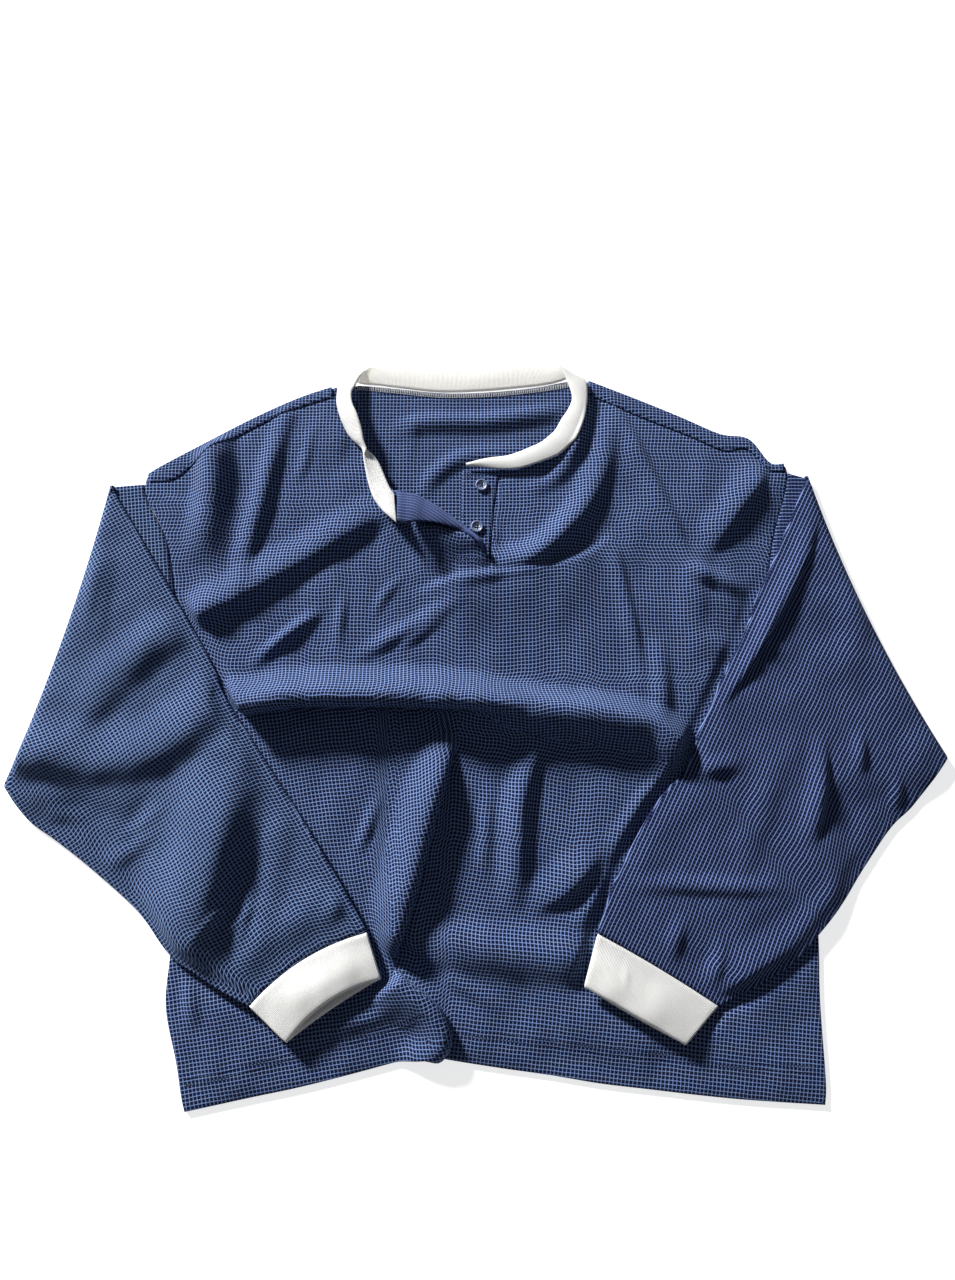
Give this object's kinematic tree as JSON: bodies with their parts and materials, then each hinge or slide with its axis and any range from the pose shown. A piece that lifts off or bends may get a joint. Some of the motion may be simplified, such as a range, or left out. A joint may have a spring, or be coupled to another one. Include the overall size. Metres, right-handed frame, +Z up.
{
  "type": "thermal top",
  "caption": "Long-sleeved waffle-knit henley laid flat, sleeves folded in over the body, with rib neck band and cuffs and an open button placket.",
  "frame": {"origin": "middle of the outline, on the surface that the top lies on", "axes": "+X across the top towards the sleeve with the closed cuff, +Y from the hem towards the collar, +Z up off the surface"},
  "size_m": [0.8914, 0.7183, 0.0313],
  "materials": {
    "waffle_knit": "navy and mid-blue cotton waffle knit, matt, slightly brushed",
    "rib_trim": "off-white fine rib knit, matt",
    "button": "navy four-hole button with a soft shine"
  },
  "bodies": {
    "root": {"back": "waffle_knit", "front": "waffle_knit", "sleeve_left": "waffle_knit", "sleeve_right": "waffle_knit", "cuff_left": "rib_trim", "cuff_right": "rib_trim", "neck_band": "rib_trim", "placket_upper": "waffle_knit", "placket_under": "waffle_knit", "button_top": "button", "button_bottom": "button"}
  },
  "joints": []
}
